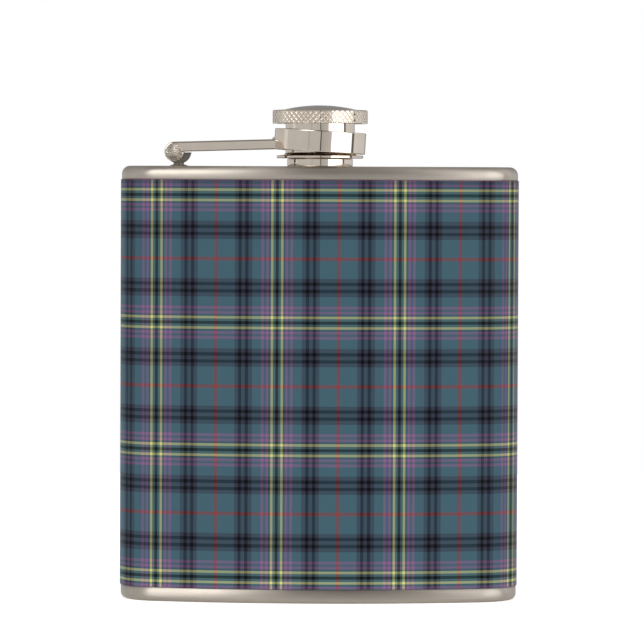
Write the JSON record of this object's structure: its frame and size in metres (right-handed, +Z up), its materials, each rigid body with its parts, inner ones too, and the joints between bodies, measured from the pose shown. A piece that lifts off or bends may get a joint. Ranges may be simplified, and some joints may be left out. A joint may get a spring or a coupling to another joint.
{
  "type": "hip flask",
  "caption": "Curved pocket flask with a tartan film wrap, steel ends, threaded neck and a knurled screw cap kept captive by a hinged arm.",
  "frame": {"origin": "centre of the body's footprint box, on the surface it stands on", "axes": "+Z up along the neck, +X away from the hinge along the width, -Y out of the convex front"},
  "size_m": [0.092, 0.0268, 0.1141],
  "materials": {
    "brushed_steel": "satin brushed stainless steel",
    "weld_steel": "weld bead",
    "polished_steel": "polished nickel steel",
    "dome_steel": "polished pressed dome",
    "printed_vinyl": "printed tartan vinyl film with a satin laminate",
    "silicone": "white silicone"
  },
  "bodies": {
    "flask": {"body_shell": "brushed_steel", "seam_weld": "weld_steel", "top_plate": "brushed_steel", "top_weld": "weld_steel", "bottom_plate": "brushed_steel", "bottom_weld": "weld_steel", "vinyl_wrap": "printed_vinyl", "neck_tube": "polished_steel", "neck_weld": "weld_steel", "hinge_post": "polished_steel", "post_weld": "weld_steel"},
    "arm": {"cap_arm": "polished_steel", "hinge_pin": "polished_steel", "arm_weld": "polished_steel", "captive_ring": "polished_steel"},
    "cap": {"cap_sleeve": "polished_steel", "cap_head": "polished_steel", "cap_dome": "dome_steel", "cap_gasket": "silicone"}
  },
  "joints": [
    {"name": "arm_swing", "type": "hinge", "parent": "flask", "child": "arm", "pos_m": [-0.0335, -0.00241, 0.1033], "axis": [0, -1, 0], "range_deg": [0, 175]},
    {"name": "cap_spin", "type": "hinge", "parent": "arm", "child": "cap", "pos_m": [0, -0.00241, 0.106], "axis": [0, 0, 1], "range_deg": [0, 748]}
  ]
}
